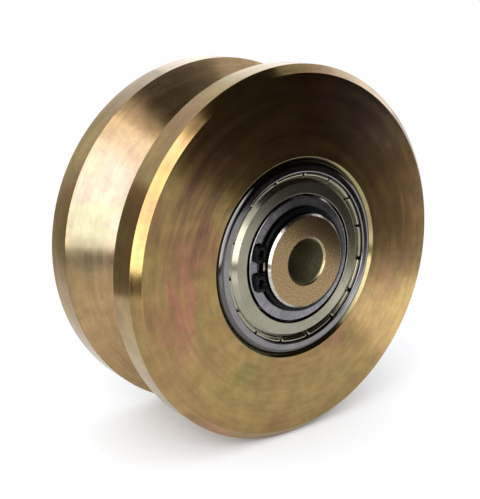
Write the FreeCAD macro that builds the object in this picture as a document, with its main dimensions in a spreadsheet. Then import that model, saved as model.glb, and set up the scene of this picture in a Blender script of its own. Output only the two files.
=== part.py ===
import FreeCAD, Part
import Sketcher
import math
import os

# V groove gate wheel, in millimetres. The origin is the wheel's centre, the wheel
# spins about Y, and Z is up. A turned steel wheel runs on two shielded ball
# bearings, which sit on a sleeve between two retaining rings.

# Driving sizes
SIZES = [
    # wheel
    ("wheel_diameter", 100.0),
    ("wheel_width", 44.0),
    ("groove_mouth", 25.0),
    ("groove_angle", 90.0),
    ("root_radius", 2.5),
    ("rim_chamfer_radial", 2.2),
    ("rim_chamfer_axial", 2.0),
    ("edge_break", 0.25),
    ("seat_chamfer", 0.8),
    ("bearing_stand_out", 0.2),
    ("shoulder_relief", 0.8),
    # bearing
    ("bearing_bore", 25.0),
    ("bearing_od", 52.0),
    ("bearing_width", 15.0),
    ("ring_corner", 1.7),
    ("ring_edge", 0.35),
    ("ball_share", 0.294),
    ("ball_count", 9),
    ("ball_clearance", 0.03),
    ("race_ease", 0.13),
    ("race_depth_share", 0.164),
    # shield
    ("shield_gap", 0.7),
    ("shield_seat_step", 0.9),
    ("shield_sheet", 0.4),
    ("shield_set_back", 0.15),
    ("shield_valley", 1.0),
    ("shield_slope", 1.35),
    ("shield_valley_floor", 0.15),
    ("shield_lip_depth", 0.85),
    ("shield_snap", 0.35),
    ("shield_fit", 0.05),
    ("bead_radius", 0.52),
    ("bead_rise", 0.7),
    ("bead_side_gap", 0.05),
    ("slit_count", 15),
    ("slit_width", 0.55),
    ("slit_turn", 15.1),
    # cage
    ("cage_sheet", 0.8),
    ("cage_side_share", 0.126),
    ("pocket_clearance", 0.12),
    ("rivet_diameter", 1.2),
    ("rivet_head_diameter", 2.2),
    ("rivet_head_height", 0.5),
    # sleeve
    ("sleeve_stand_out", 3.0),
    ("bolt_bore", 12.0),
    ("sleeve_end_chamfer", 0.6),
    ("bore_chamfer", 0.5),
    # retaining ring
    ("clip_thickness", 1.2),
    ("clip_side_play", 0.1),
    ("clip_groove_depth", 0.55),
    ("clip_wide", 2.5),
    ("clip_narrow", 1.3),
    ("clip_gap", 2.8),
    ("lug_width", 4.8),
    ("lug_reach", 3.4),
    ("lug_corner", 1.6),
    ("lug_hole_diameter", 1.9),
    ("lug_hole_inset", 1.7),
]

doc = FreeCAD.newDocument("gate_wheel")
dims = doc.addObject("Spreadsheet::Sheet", "dims")
for row, (alias, number) in enumerate(SIZES, start=1):
    dims.set(f"A{row}", alias)
    dims.set(f"B{row}", str(number))
    dims.setAlias(f"B{row}", alias)
doc.recompute()
size = dict(SIZES)

# Radii and depths that follow from the driving sizes, as expressions on the sheet
WHEEL_R = "dims.wheel_diameter / 2"
HALF_WIDTH = "dims.wheel_width / 2"
HALF_MOUTH = "dims.groove_mouth / 2"
ROOT_R = f"({WHEEL_R} - {HALF_MOUTH} / tan(dims.groove_angle / 2))"
SEAT_R = "dims.bearing_od / 2"
BORE_R = "dims.bearing_bore / 2"
BEARING_FACE = f"({HALF_WIDTH} + dims.bearing_stand_out)"
BEARING_CENTRE = f"({BEARING_FACE} - dims.bearing_width / 2)"
HALF_WEB = f"({BEARING_FACE} - dims.bearing_width)"
HALF_RING = "dims.bearing_width / 2"
PITCH_R = "(dims.bearing_bore + dims.bearing_od) / 4"
# The ball is a share of the ring section that holds it. The race's depth and the gap
# beside the cage are shares of the ball.
BALL_R = "(dims.ball_share * (dims.bearing_od - dims.bearing_bore) / 2)"
RACE_DEPTH = f"(dims.race_depth_share * 2 * {BALL_R})"
CAGE_SIDE_GAP = f"(dims.cage_side_share * 2 * {BALL_R})"
RACE_R = f"({BALL_R} + dims.race_ease)"
INNER_RACE = f"({PITCH_R} - {BALL_R} - dims.ball_clearance)"
OUTER_RACE = f"({PITCH_R} + {BALL_R} + dims.ball_clearance)"
INNER_LAND = f"({INNER_RACE} + {RACE_DEPTH})"
OUTER_LAND = f"({OUTER_RACE} - {RACE_DEPTH})"
SHIELD_SEAT = f"({OUTER_LAND} + dims.shield_seat_step)"
LIP_R = f"({INNER_LAND} + dims.shield_gap)"
CLIP_SEAT = f"({BORE_R} - dims.clip_groove_depth)"

# How far a cut runs past the metal that it takes away
PAST = "1"


def origin_part(body, role):
    # The body's own origin plane or axis of this role
    return [part for part in body.Origin.OriginFeatures if part.Role == role][0]


def sketch_on(body, name, plane):
    sketch = body.newObject("Sketcher::SketchObject", name)
    sketch.AttachmentSupport = [(origin_part(body, plane), "")]
    sketch.MapMode = "FlatFace"
    return sketch


def drive(sketch, kind, place, start, expression):
    # One size of the sketch, bound to the sheet
    index = sketch.addConstraint(Sketcher.Constraint(kind, *place, start))
    sketch.setExpression(f"Constraints[{index}]", expression)


def draw_outline(sketch, corners):
    # A closed outline of straight lines. Each corner is a pair of expressions.
    first = sketch.GeometryCount
    count = len(corners)
    turn = 2 * math.pi / count
    start = [FreeCAD.Vector(math.cos(turn * i), math.sin(turn * i), 0) for i in range(count)]
    lines = [Part.LineSegment(start[i], start[(i + 1) % count]) for i in range(count)]
    sketch.addGeometry(lines, False)
    for i in range(count):
        following = first + (i + 1) % count
        sketch.addConstraint(Sketcher.Constraint("Coincident", first + i, 2, following, 1))
    for i, (across, along) in enumerate(corners):
        drive(sketch, "DistanceX", (-1, 1, first + i, 1), start[i].x, across)
        drive(sketch, "DistanceY", (-1, 1, first + i, 1), start[i].y, along)


def draw_circle(sketch, across, along, radius):
    circle = Part.Circle(FreeCAD.Vector(1, 1, 0), FreeCAD.Vector(0, 0, 1), 1)
    index = sketch.addGeometry(circle, False)
    drive(sketch, "DistanceX", (-1, 1, index, 3), 1, across)
    drive(sketch, "DistanceY", (-1, 1, index, 3), 1, along)
    drive(sketch, "Radius", (index,), 1, radius)


def draw_centre_line(sketch, across):
    # A construction line along Y, as the axis of what is turned off the wheel's axis
    line = Part.LineSegment(FreeCAD.Vector(1, 0, 0), FreeCAD.Vector(1, 1, 0))
    index = sketch.addGeometry(line, True)
    drive(sketch, "DistanceX", (-1, 1, index, 1), 1, across)
    drive(sketch, "DistanceX", (-1, 1, index, 2), 1, across)
    drive(sketch, "DistanceY", (-1, 1, index, 1), 0, "0")
    drive(sketch, "DistanceY", (-1, 1, index, 2), 1, "1")


def draw_half_disc(sketch, across, radius):
    # A half disc on the +X side of the line at this distance from Y
    middle = FreeCAD.Vector(1, 0, 0)
    full = Part.Circle(middle, FreeCAD.Vector(0, 0, 1), 1)
    arc = sketch.addGeometry(Part.ArcOfCircle(full, -math.pi / 2, math.pi / 2), False)
    chord = Part.LineSegment(FreeCAD.Vector(1, 1, 0), FreeCAD.Vector(1, -1, 0))
    line = sketch.addGeometry(chord, False)
    sketch.addConstraint(Sketcher.Constraint("Coincident", arc, 2, line, 1))
    sketch.addConstraint(Sketcher.Constraint("Coincident", line, 2, arc, 1))
    sketch.addConstraint(Sketcher.Constraint("Vertical", line))
    sketch.addConstraint(Sketcher.Constraint("PointOnObject", arc, 3, line))
    drive(sketch, "DistanceX", (-1, 1, arc, 3), 1, across)
    drive(sketch, "DistanceY", (-1, 1, arc, 3), 0, "0")
    drive(sketch, "Radius", (arc,), 1, radius)


def spin(body, name, sketch, kind, axis="V_Axis"):
    # A full turn of the sketch, about Y unless another of its lines is named: kind is
    # Revolution to add, Groove to cut
    feature = body.newObject(f"PartDesign::{kind}", name)
    feature.Profile = sketch
    feature.ReferenceAxis = (sketch, [axis])
    feature.Angle = 360
    doc.recompute()
    return feature


def ball_shape(body, name, kind, radius):
    # A ball on the pitch circle at the +X side, added to the body or cut from it
    sketch = sketch_on(body, f"{name}_section", "XY_Plane")
    draw_half_disc(sketch, PITCH_R, radius)
    draw_centre_line(sketch, PITCH_R)
    return spin(body, name, sketch, kind, "Axis0")


def turned(body, name, corners):
    sketch = sketch_on(body, f"{name}_section", "XY_Plane")
    draw_outline(sketch, corners)
    return spin(body, name, sketch, "Revolution")


def turned_away(body, name, corners):
    sketch = sketch_on(body, f"{name}_section", "XY_Plane")
    draw_outline(sketch, corners)
    return spin(body, name, sketch, "Groove")


def repeat(body, name, feature, count):
    # Copies of a feature evenly spaced around Y
    pattern = body.newObject("PartDesign::PolarPattern", name)
    pattern.Originals = [feature]
    pattern.Axis = (origin_part(body, "Y_Axis"), [""])
    pattern.Angle = 360
    pattern.setExpression("Occurrences", count)
    body.Tip = pattern
    doc.recompute()
    return pattern


def circles_at(feature, test):
    # Names of the round edges for which test(radius, height along Y) holds
    names = []
    for index, edge in enumerate(feature.Shape.Edges, start=1):
        curve = edge.Curve
        if isinstance(curve, Part.Circle) and test(curve.Radius, curve.Center.y):
            names.append(f"Edge{index}")
    return names


def rounded(body, name, feature, edges, radius):
    fillet = body.newObject("PartDesign::Fillet", name)
    fillet.Base = (feature, edges)
    fillet.setExpression("Radius", radius)
    doc.recompute()
    return fillet


def at_angle(across, along, angle):
    # The point (across, along), turned about the origin by the angle in degrees
    turned_across = f"({across}) * cos({angle}) - ({along}) * sin({angle})"
    turned_along = f"({across}) * sin({angle}) + ({along}) * cos({angle})"
    return turned_across, turned_along


def near(value, target):
    return abs(value - target) < 0.001


def put(body, turn_axis, turn, distance):
    # Turns the piece about its own origin, then moves it along Y
    body.Placement = FreeCAD.Placement(FreeCAD.Vector(), FreeCAD.Rotation(turn_axis, 1))
    body.setExpression("Placement.Rotation.Angle", turn)
    body.setExpression("Placement.Base.y", distance)


# Wheel: one turned piece with the V groove outside, a bearing seat bored from each
# side and a narrower web left between the seats
def make_wheel():
    body = doc.addObject("PartDesign::Body", "wheel_body")
    seat_mouth = f"({SEAT_R} + dims.seat_chamfer)"
    seat_start = f"({HALF_WIDTH} - dims.seat_chamfer)"
    rim_start = f"({HALF_WIDTH} - dims.rim_chamfer_axial)"
    web_r = f"({SHIELD_SEAT} + dims.shoulder_relief)"
    side = [
        (web_r, HALF_WEB),
        (SEAT_R, HALF_WEB),
        (SEAT_R, seat_start),
        (seat_mouth, HALF_WIDTH),
        (f"{WHEEL_R} - dims.rim_chamfer_radial", HALF_WIDTH),
        (WHEEL_R, rim_start),
        (WHEEL_R, HALF_MOUTH),
    ]
    far_side = [(across, f"-{along}") for across, along in reversed(side)]
    blank = turned(body, "wheel_turned", side + [(ROOT_R, "0")] + far_side)
    root = circles_at(blank, lambda radius, height: near(height, 0))
    rooted = rounded(body, "root_rounding", blank, root, "dims.root_radius")
    wheel_r = size["wheel_diameter"] / 2
    half_mouth = size["groove_mouth"] / 2
    rims = circles_at(rooted, lambda radius, height: near(radius, wheel_r)
                      and near(abs(height), half_mouth))
    rounded(body, "groove_edge_rounding", rooted, rims, "dims.edge_break")


# Sleeve: the bolt passes through it and both inner rings sit on it
def make_sleeve():
    body = doc.addObject("PartDesign::Body", "axle_sleeve")
    half_length = f"{HALF_WIDTH} + dims.sleeve_stand_out"
    bolt_r = "dims.bolt_bore / 2"
    groove_end = f"({BEARING_FACE} + dims.clip_thickness + dims.clip_side_play)"
    side = [
        (BORE_R, BEARING_FACE),
        (CLIP_SEAT, BEARING_FACE),
        (CLIP_SEAT, groove_end),
        (BORE_R, groove_end),
        (BORE_R, f"({half_length} - dims.sleeve_end_chamfer)"),
        (f"{BORE_R} - dims.sleeve_end_chamfer", f"({half_length})"),
        (f"{bolt_r} + dims.bore_chamfer", f"({half_length})"),
        (bolt_r, f"({half_length} - dims.bore_chamfer)"),
    ]
    far_side = [(across, f"-{along}") for across, along in reversed(side)]
    turned(body, "sleeve_turned", side + far_side)


# Bearing rings: plain rings with a round raceway, and in the outer one a stepped
# seat for a shield at each face
def make_outer_ring(label, distance):
    body = doc.addObject("PartDesign::Body", label)
    ring = turned(body, f"{label}_blank", [
        (OUTER_LAND, f"-{HALF_RING}"),
        (SEAT_R, f"-{HALF_RING}"),
        (SEAT_R, HALF_RING),
        (OUTER_LAND, HALF_RING),
    ])
    corners = circles_at(ring, lambda radius, height: near(radius, size["bearing_od"] / 2))
    rounded(body, f"{label}_corners", ring, corners, "dims.ring_corner")
    race = sketch_on(body, f"{label}_race_section", "XY_Plane")
    draw_circle(race, f"{OUTER_RACE} - {RACE_R}", "0", RACE_R)
    spin(body, f"{label}_race", race, "Groove")
    bead_edge = f"({HALF_RING} - dims.shield_set_back - dims.shield_valley - dims.bead_radius)"
    seat_floor = f"({bead_edge} - dims.bead_radius)"
    snap_r = f"({SHIELD_SEAT} + dims.shield_snap)"
    seat = [
        (PITCH_R, f"({HALF_RING} + {PAST})"),
        (f"{SHIELD_SEAT} + dims.ring_edge + {PAST}", f"({HALF_RING} + {PAST})"),
        (SHIELD_SEAT, f"({HALF_RING} - dims.ring_edge)"),
        (SHIELD_SEAT, bead_edge),
        (snap_r, bead_edge),
        (snap_r, seat_floor),
        (PITCH_R, seat_floor),
    ]
    turned_away(body, f"{label}_shield_seat", seat)
    turned_away(body, f"{label}_far_shield_seat", [(across, f"-{along}") for across, along in seat])
    body.setExpression("Placement.Base.y", distance)


def make_inner_ring(label, distance):
    body = doc.addObject("PartDesign::Body", label)
    ring = turned(body, f"{label}_blank", [
        (BORE_R, f"-{HALF_RING}"),
        (INNER_LAND, f"-{HALF_RING}"),
        (INNER_LAND, HALF_RING),
        (BORE_R, HALF_RING),
    ])
    bore_r = size["bearing_bore"] / 2
    lands = circles_at(ring, lambda radius, height: not near(radius, bore_r))
    eased = rounded(body, f"{label}_edges", ring, lands, "dims.ring_edge")
    bore_corners = circles_at(eased, lambda radius, height: near(radius, bore_r))
    rounded(body, f"{label}_bore_corners", eased, bore_corners, "dims.ring_corner")
    race = sketch_on(body, f"{label}_race_section", "XY_Plane")
    draw_circle(race, f"{INNER_RACE} + {RACE_R}", "0", RACE_R)
    spin(body, f"{label}_race", race, "Groove")
    body.setExpression("Placement.Base.y", distance)


# Balls: evenly spaced on the pitch circle, the first one on the +X side
def make_balls(prefix, distance):
    for number in range(int(size["ball_count"])):
        ball = doc.addObject("Part::Sphere", f"{prefix}_ball_{number + 1}")
        ball.setExpression("Radius", BALL_R)
        ball.setExpression("Placement.Base.x", f"{PITCH_R} * cos(360 * {number} / dims.ball_count)")
        ball.setExpression("Placement.Base.z", f"{PITCH_R} * sin(360 * {number} / dims.ball_count)")
        ball.setExpression("Placement.Base.y", distance)


# Cage: two pressed ribbons, riveted back to back, with a round pocket for each ball.
# Each ribbon lies on its own -Y side of the pitch plane.
def make_cage_half(label, turn, distance):
    body = doc.addObject("PartDesign::Body", label)
    shell_r = f"({BALL_R} + dims.pocket_clearance + dims.cage_sheet)"
    ribbon_in = f"({INNER_LAND} + {CAGE_SIDE_GAP})"
    ribbon_out = f"({OUTER_LAND} - {CAGE_SIDE_GAP})"
    clear = f"({shell_r} + {PAST})"
    turned(body, f"{label}_ribbon", [
        (ribbon_in, "0"),
        (ribbon_out, "0"),
        (ribbon_out, "-dims.cage_sheet"),
        (ribbon_in, "-dims.cage_sheet"),
    ])
    shell = ball_shape(body, f"{label}_pocket_shell", "Revolution", shell_r)
    repeat(body, f"{label}_pocket_shells", shell, "dims.ball_count")
    turned_away(body, f"{label}_trim", [
        (f"{PITCH_R} - {clear}", f"-{clear}"),
        (ribbon_in, f"-{clear}"),
        (ribbon_in, "0"),
        (ribbon_out, "0"),
        (ribbon_out, f"-{clear}"),
        (f"{PITCH_R} + {clear}", f"-{clear}"),
        (f"{PITCH_R} + {clear}", clear),
        (f"{PITCH_R} - {clear}", clear),
    ])
    pocket_r = f"({BALL_R} + dims.pocket_clearance)"
    pocket = ball_shape(body, f"{label}_pocket", "Groove", pocket_r)
    repeat(body, f"{label}_pockets", pocket, "dims.ball_count")
    hole_sketch = sketch_on(body, f"{label}_rivet_place", "XZ_Plane")
    draw_circle(hole_sketch, f"{PITCH_R} * cos(180 / dims.ball_count)",
                f"{PITCH_R} * sin(180 / dims.ball_count)", "dims.rivet_diameter / 2")
    hole = body.newObject("PartDesign::Pocket", f"{label}_rivet_hole")
    hole.Profile = hole_sketch
    hole.Midplane = True
    hole.setExpression("Length", "dims.cage_sheet * 4")
    doc.recompute()
    repeat(body, f"{label}_rivet_holes", hole, "dims.ball_count")
    put(body, FreeCAD.Vector(1, 0, 0), turn, distance)


# Rivets: one between each pair of pockets, with a flat head on either side
def make_cage_rivets(label, distance):
    body = doc.addObject("PartDesign::Body", label)
    shank_r = "dims.rivet_diameter / 2"
    head_r = "dims.rivet_head_diameter / 2"
    under_head = "dims.cage_sheet"
    head_top = "(dims.cage_sheet + dims.rivet_head_height)"
    side = [
        (f"{PITCH_R} + {shank_r}", under_head),
        (f"{PITCH_R} + {head_r}", under_head),
        (f"{PITCH_R} + {head_r} / 2", head_top),
        (PITCH_R, head_top),
    ]
    far_side = [(across, f"-{along}") for across, along in reversed(side)]
    section = sketch_on(body, f"{label}_section", "XY_Plane")
    draw_outline(section, side + far_side)
    draw_centre_line(section, PITCH_R)
    rivet = spin(body, f"{label}_rivet", section, "Revolution", "Axis0")
    repeat(body, f"{label}_rivets", rivet, "dims.ball_count")
    put(body, FreeCAD.Vector(0, 1, 0), "180 / dims.ball_count", distance)


# Shield: a pressed disc with a turned-in lip at the inner ring, a flat, a shallow
# valley and a beaded rim, slit into tabs, that snaps into the outer ring. It faces -Y.
def make_shield(label, turn, distance):
    body = doc.addObject("PartDesign::Body", label)
    front = f"({HALF_RING} - dims.shield_set_back)"
    back = f"({front} - dims.shield_sheet)"
    valley = f"({front} - dims.shield_valley)"
    bead_y = f"({valley} - dims.bead_radius + dims.bead_rise)"
    bead_x = f"({SHIELD_SEAT} - dims.bead_side_gap - dims.bead_radius)"
    valley_out = f"({bead_x} - dims.bead_radius)"
    valley_in = f"({valley_out} - dims.shield_valley_floor)"
    flat_out = f"({valley_in} - dims.shield_slope)"
    foot = f"({HALF_RING} - dims.shield_set_back - dims.shield_valley - 2 * dims.bead_radius)"
    foot_top = f"({foot} + dims.shield_sheet)"
    snap_r = f"({SHIELD_SEAT} + dims.shield_snap - dims.shield_fit)"
    turned(body, f"{label}_disc", [
        (LIP_R, f"-{front}"),
        (flat_out, f"-{front}"),
        (valley_in, f"-{valley}"),
        (bead_x, f"-{valley}"),
        (bead_x, f"-{foot_top}"),
        (snap_r, f"-{foot_top}"),
        (snap_r, f"-{foot}"),
        (valley_out, f"-{foot}"),
        (valley_out, f"-({valley} - dims.shield_sheet)"),
        (f"({valley_in} - dims.shield_sheet / 2)", f"-({valley} - dims.shield_sheet)"),
        (f"({flat_out} - dims.shield_sheet / 2)", f"-{back}"),
        (f"({LIP_R} + dims.shield_sheet)", f"-{back}"),
        (f"({LIP_R} + dims.shield_sheet)", f"-({front} - dims.shield_lip_depth)"),
        (LIP_R, f"-({front} - dims.shield_lip_depth)"),
    ])
    bead = sketch_on(body, f"{label}_bead_section", "XY_Plane")
    draw_circle(bead, bead_x, f"-{bead_y}", "dims.bead_radius")
    spin(body, f"{label}_bead", bead, "Revolution")
    slit = sketch_on(body, f"{label}_slit_outline", "XZ_Plane")
    slit_start = f"(({valley_in} + {valley_out}) / 2)"
    slit_end = f"({snap_r} + {PAST})"
    half_slit = "dims.slit_width / 2"
    draw_outline(slit, [
        at_angle(slit_start, f"-{half_slit}", "dims.slit_turn"),
        at_angle(slit_end, f"-{half_slit}", "dims.slit_turn"),
        at_angle(slit_end, half_slit, "dims.slit_turn"),
        at_angle(slit_start, half_slit, "dims.slit_turn"),
    ])
    cut = body.newObject("PartDesign::Pocket", f"{label}_slit")
    cut.Profile = slit
    cut.Reversed = True
    cut.Type = "ThroughAll"
    doc.recompute()
    repeat(body, f"{label}_slits", cut, "dims.slit_count")
    put(body, FreeCAD.Vector(0, 0, 1), turn, distance)


# Retaining ring: an open spring ring, widest opposite its gap, with a lug and a
# plier hole at each end. The gap is on the -X side and the ring lies on its own -Y side.
def make_retaining_ring(label, turn, distance):
    body = doc.addObject("PartDesign::Body", label)
    outer_r = f"({CLIP_SEAT} + (dims.clip_wide + dims.clip_narrow) / 2)"
    offset = "(dims.clip_wide - dims.clip_narrow) / 2"
    lug_low = "dims.clip_gap / 2"
    lug_high = f"({lug_low} + dims.lug_width)"
    lug_end = f"({CLIP_SEAT} + dims.lug_reach)"

    def pad(name, draw):
        sketch = sketch_on(body, f"{label}_{name}_outline", "XZ_Plane")
        draw(sketch)
        feature = body.newObject("PartDesign::Pad", f"{label}_{name}")
        feature.Profile = sketch
        feature.setExpression("Length", "dims.clip_thickness")
        doc.recompute()
        return feature

    def cut(name, draw):
        sketch = sketch_on(body, f"{label}_{name}_outline", "XZ_Plane")
        draw(sketch)
        feature = body.newObject("PartDesign::Pocket", f"{label}_{name}")
        feature.Profile = sketch
        feature.Midplane = True
        feature.setExpression("Length", "dims.clip_thickness * 4")
        doc.recompute()
        return feature

    pad("disc", lambda sketch: draw_circle(sketch, offset, "0", outer_r))
    for name, sign in (("upper_lug", ""), ("lower_lug", "-")):
        lugs = pad(name, lambda sketch: draw_outline(sketch, [
            (f"-{CLIP_SEAT}", f"{sign}{lug_low}"),
            (f"-{lug_end}", f"{sign}{lug_low}"),
            (f"-{lug_end}", f"{sign}{lug_high}"),
            (f"-{CLIP_SEAT} / 2", f"{sign}{lug_high}"),
        ]))
    far = max(abs(vertex.X) for vertex in lugs.Shape.Vertexes)
    ends = [f"Edge{index}" for index, edge in enumerate(lugs.Shape.Edges, start=1)
            if len(edge.Vertexes) == 2
            and near(edge.Vertexes[0].X, -far) and near(edge.Vertexes[1].X, -far)
            and not near(edge.Vertexes[0].Y, edge.Vertexes[1].Y)]
    rounded(body, f"{label}_lug_corners", lugs, ends, "dims.lug_corner")
    cut("inside", lambda sketch: draw_circle(sketch, "0", "0", CLIP_SEAT))
    cut("gap", lambda sketch: draw_outline(sketch, [
        (f"-{lug_end} - {PAST}", f"-{lug_low}"),
        ("0", f"-{lug_low}"),
        ("0", lug_low),
        (f"-{lug_end} - {PAST}", lug_low),
    ]))
    for name, sign in (("upper_hole", ""), ("lower_hole", "-")):
        cut(name, lambda sketch: draw_circle(
            sketch, f"-({CLIP_SEAT} + dims.lug_hole_inset)",
            f"{sign}({lug_low} + dims.lug_width / 2)", "dims.lug_hole_diameter / 2"))
    put(body, FreeCAD.Vector(1, 0, 0), turn, distance)


make_wheel()
make_sleeve()
for end, sign, half_turn in (("front", "-", "0"), ("rear", "", "180")):
    middle = f"{sign}{BEARING_CENTRE}"
    other_turn = "180" if half_turn == "0" else "0"
    make_outer_ring(f"{end}_outer_ring", middle)
    make_inner_ring(f"{end}_inner_ring", middle)
    make_balls(end, middle)
    make_cage_half(f"{end}_cage_outer_half", half_turn, middle)
    make_cage_half(f"{end}_cage_inner_half", other_turn, middle)
    make_cage_rivets(f"{end}_cage_rivets", middle)
    make_shield(f"{end}_outer_shield", half_turn, middle)
    make_shield(f"{end}_inner_shield", other_turn, middle)
    make_retaining_ring(f"{end}_retaining_ring", half_turn, f"{sign}{BEARING_FACE}")
doc.recompute()

# Every object has to be sound before anything is written
pieces = [item for item in doc.Objects
          if item.TypeId in ("PartDesign::Body", "Part::Sphere")]
for item in doc.Objects:
    if "Invalid" in item.State or "Error" in item.State:
        raise RuntimeError(f"{item.Label} did not recompute: {item.State}")
for piece in pieces:
    if piece.Shape.isNull() or not piece.Shape.isValid():
        raise RuntimeError(f"{piece.Label} has no valid shape")

os.makedirs("parts", exist_ok=True)
for piece in pieces:
    piece.Shape.exportStep(f"parts/{piece.Label}.step")
    print(f"{piece.Label}: {len(piece.Shape.Solids)} solid(s), {piece.Shape.Volume:.1f} mm3")
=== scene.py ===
import math

import bpy
import numpy as np
from mathutils import Matrix, Vector


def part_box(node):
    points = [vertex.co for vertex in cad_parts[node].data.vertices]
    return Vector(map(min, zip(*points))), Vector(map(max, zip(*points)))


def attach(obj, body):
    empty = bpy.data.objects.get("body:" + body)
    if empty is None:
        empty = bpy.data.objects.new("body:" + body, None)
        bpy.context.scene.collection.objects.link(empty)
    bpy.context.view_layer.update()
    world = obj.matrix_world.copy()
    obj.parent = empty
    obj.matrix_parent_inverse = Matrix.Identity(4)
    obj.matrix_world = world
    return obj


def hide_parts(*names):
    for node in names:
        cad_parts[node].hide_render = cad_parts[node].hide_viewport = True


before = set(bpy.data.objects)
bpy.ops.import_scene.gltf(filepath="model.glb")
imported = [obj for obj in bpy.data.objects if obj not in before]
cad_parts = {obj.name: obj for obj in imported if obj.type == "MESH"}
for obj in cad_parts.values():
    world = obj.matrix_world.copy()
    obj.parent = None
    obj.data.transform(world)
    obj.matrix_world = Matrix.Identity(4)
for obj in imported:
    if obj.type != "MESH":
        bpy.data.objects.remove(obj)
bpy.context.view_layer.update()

# Gate wheel with a V groove on two shielded ball bearings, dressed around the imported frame.
# Everything is in metres, the wheel turns about Y and Z is up.
mm = 0.001
wheelLow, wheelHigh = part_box("wheel_body")
sleeveLow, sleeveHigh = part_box("axle_sleeve")
floorHeight = wheelLow.z


def roundedOutline(corners, steps=5):
    # Rows of a closed outline: radius, height along Y and rounding, all in mm, with the metal on
    # the left. A corner turning by t becomes an arc that starts rounding * tan(t / 2) before it,
    # and its normal swings evenly from that of the side before to that of the side after.
    rows = np.array(corners, float)
    corner, rounding = rows[:, :2], rows[:, 2:]
    ahead = np.roll(corner, -1, axis=0) - corner
    ahead /= np.linalg.norm(ahead, axis=1, keepdims=True)
    behind = np.roll(ahead, 1, axis=0)
    cross = behind[:, 0] * ahead[:, 1] - behind[:, 1] * ahead[:, 0]
    turn = np.arctan2(cross, (behind * ahead).sum(1))[:, None]
    start = corner - behind * rounding * np.tan(np.abs(turn) / 2)
    first = np.arctan2(-behind[:, 0], behind[:, 1])[:, None]
    angle = first + turn * np.linspace(0, 1, steps)
    normals = np.stack([np.cos(angle), np.sin(angle)], axis=-1)
    bend = (rounding * np.sign(turn))[:, None]
    points = start[:, None] + bend * (normals - normals[:, :1])
    return points.reshape(-1, 2) * mm, normals.reshape(-1, 2)


def mirrored(half):
    # The same corners again on the other side of the wheel's middle plane
    return half + [(radius, -height, rounding) for radius, height, rounding in reversed(half)]


def swept(outline, angles, closed):
    # Grid of an outline carried round Y: point (i, j) is the outline's point i turned by angle j,
    # x = radius * cos, y = height, z = radius * sin. An open sweep gets a flat cap at each end.
    points, normals = outline
    count, turns = len(points), len(angles)
    cosine, sine = np.cos(angles), np.sin(angles)

    def around(rows):
        height = np.repeat(rows[:, 1:], turns, axis=1)
        return np.stack([rows[:, :1] * cosine, height, rows[:, :1] * sine], axis=-1)

    i, j = np.meshgrid(np.arange(count), np.arange(turns if closed else turns - 1), indexing="ij")
    nextI, nextJ = (i + 1) % count, (j + 1) % turns
    quads = np.stack([i * turns + j, nextI * turns + j, nextI * turns + nextJ, i * turns + nextJ],
                     axis=-1).reshape(-1, 4)
    smooth = around(normals).reshape(-1, 3)
    faces, cornerNormals = quads.tolist(), [smooth[quads.ravel()]]
    if not closed:
        ends = np.arange(count) * turns
        caps = [(ends, [sine[0], 0, -cosine[0]]),
                ((ends + turns - 1)[::-1], [-sine[-1], 0, cosine[-1]])]
        for cap, facing in caps:
            faces.append(cap.tolist())
            cornerNormals.append(np.tile(facing, (count, 1)))
    return around(points).reshape(-1, 3), faces, np.concatenate(cornerNormals)


def ringOf(corners, segments=256, steps=5):
    # A full turn of an outline
    return swept(roundedOutline(corners, steps), np.arange(segments) * 2 * math.pi / segments, True)


def joined(shells):
    # Several closed shells as one mesh
    points, faces, normals, offset = [], [], [], 0
    for shellPoints, shellFaces, shellNormals in shells:
        points.append(shellPoints)
        faces += [[corner + offset for corner in face] for face in shellFaces]
        normals.append(shellNormals)
        offset += len(shellPoints)
    return np.concatenate(points), faces, np.concatenate(normals)


def flipped(shell):
    # Half a turn about Z, for the side that faces the other way
    half = np.array([-1.0, -1.0, 1.0])
    return shell[0] * half, shell[1], shell[2] * half


def shifted(shell, height):
    return shell[0] + np.array([0, height, 0]), shell[1], shell[2]


def addPiece(name, shell, body, material, nodes):
    points, faces, normals = shell
    mesh = bpy.data.meshes.new(name)
    mesh.from_pydata(points, [], faces)
    mesh.update()
    mesh.polygons.foreach_set("use_smooth", np.ones(len(mesh.polygons), bool))
    mesh.normals_split_custom_set(normals)
    mesh.materials.append(material)
    piece = bpy.data.objects.new(name, mesh)
    bpy.context.scene.collection.objects.link(piece)
    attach(piece, body)
    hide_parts(*nodes)
    return piece


def linear(hexColour):
    # sRGB hex value to linear red, green, blue and alpha
    channels = np.array([int(hexColour[i:i + 2], 16) for i in (1, 3, 5)]) / 255
    low, high = channels / 12.92, ((channels + 0.055) / 1.055) ** 2.4
    return (*np.where(channels <= 0.04045, low, high).tolist(), 1.0)


def node(tree, kind, inputs=None, out=0, stops=(), **settings):
    # Adds one node and gives the output asked for, or all of them for None. An input is a plain
    # value or a socket to link from, and stops are a colour ramp's (position, hex colour).
    made = tree.nodes.new(kind)
    for key, value in settings.items():
        setattr(made, key, value)
    for key, value in (inputs or {}).items():
        if isinstance(value, bpy.types.NodeSocket):
            tree.links.new(value, made.inputs[key])
        else:
            made.inputs[key].default_value = value
    if stops:
        elements = made.color_ramp.elements
        while len(elements) < len(stops):
            elements.new(0.5)
        for element, (position, colour) in zip(elements, stops):
            element.position = position
            element.color = linear(colour)
    return made.outputs[out] if made.outputs and out is not None else made.outputs


def newMaterial(name):
    material = bpy.data.materials.new(name)
    material.use_nodes = True
    tree = material.node_tree
    tree.nodes.clear()
    return material, tree


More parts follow.
